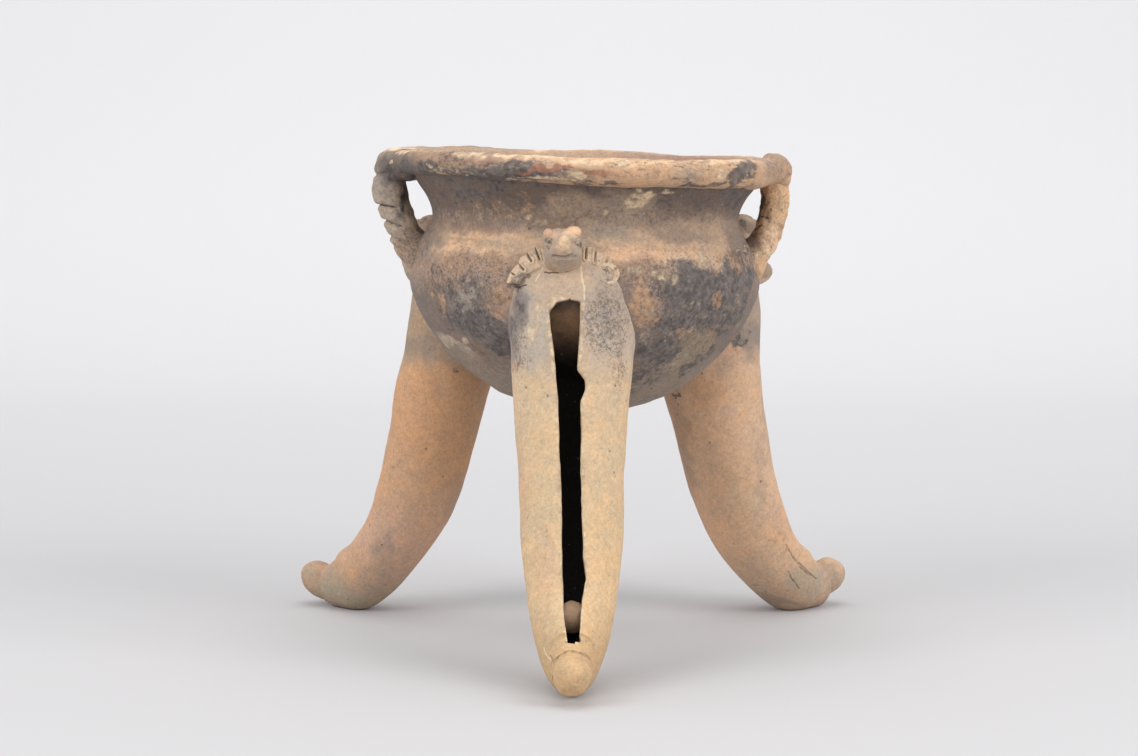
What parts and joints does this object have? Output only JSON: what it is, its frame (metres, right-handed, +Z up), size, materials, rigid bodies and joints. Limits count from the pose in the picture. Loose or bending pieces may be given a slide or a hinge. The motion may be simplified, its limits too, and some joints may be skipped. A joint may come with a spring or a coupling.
{
  "type": "tripod rattle vessel",
  "caption": "Earthenware bowl with flared neck, thick rim and loop handles, on bowed hollow slotted legs, each with a loose rattle pellet inside and a small animal head above.",
  "frame": {"origin": "on the floor, at the middle of the bounding box's footprint", "axes": "+Z up; the front leg and its figure point along -Y; +X runs to the viewer's right, between the rear legs' toes"},
  "size_m": [0.2939, 0.2627, 0.2467],
  "materials": {
    "leg_clay": "matte",
    "sooty_clay": "matte",
    "rim_clay": "matte",
    "handle_clay": "matte",
    "figure_clay": "matte",
    "pellet_clay": "matte"
  },
  "bodies": {
    "vessel": {"bowl": "sooty_clay", "neck": "sooty_clay", "rim": "rim_clay", "handle_left": "handle_clay", "handle_right": "handle_clay", "leg_front": "leg_clay", "toe_front": "leg_clay", "head_front": "figure_clay", "snout_front": "figure_clay", "ear_front_left": "figure_clay", "ear_front_right": "figure_clay", "arm_front_left": "figure_clay", "arm_front_right": "figure_clay", "leg_rear_left": "leg_clay", "toe_rear_left": "leg_clay", "head_rear_left": "figure_clay", "snout_rear_left": "figure_clay", "ear_rear_left_left": "figure_clay", "ear_rear_left_right": "figure_clay", "arm_rear_left_left": "figure_clay", "arm_rear_left_right": "figure_clay", "leg_rear_right": "leg_clay", "toe_rear_right": "leg_clay", "head_rear_right": "figure_clay", "snout_rear_right": "figure_clay", "ear_rear_right_left": "figure_clay", "ear_rear_right_right": "figure_clay", "arm_rear_right_left": "figure_clay", "arm_rear_right_right": "figure_clay"},
    "front_rattle": {"pellet_front": "pellet_clay"},
    "rear_left_rattle": {"pellet_rear_left": "pellet_clay"},
    "rear_right_rattle": {"pellet_rear_right": "pellet_clay"}
  },
  "joints": [
    {"name": "front_pellet_roll", "type": "hinge", "parent": "vessel", "child": "front_rattle", "pos_m": [-0.0013, -0.26652, 0.16115], "axis": [1, 0, 0], "range_deg": [0, 29.7]},
    {"name": "rear_left_pellet_roll", "type": "hinge", "parent": "vessel", "child": "rear_left_rattle", "pos_m": [-0.2495, 0.16626, 0.15822], "axis": [-0.443, -0.8964, -0.0107], "range_deg": [0, 33.6]},
    {"name": "rear_right_pellet_roll", "type": "hinge", "parent": "vessel", "child": "rear_right_rattle", "pos_m": [0.26558, 0.19256, 0.15896], "axis": [-0.5146, 0.8574, 0.004], "range_deg": [0, 28.5]}
  ]
}
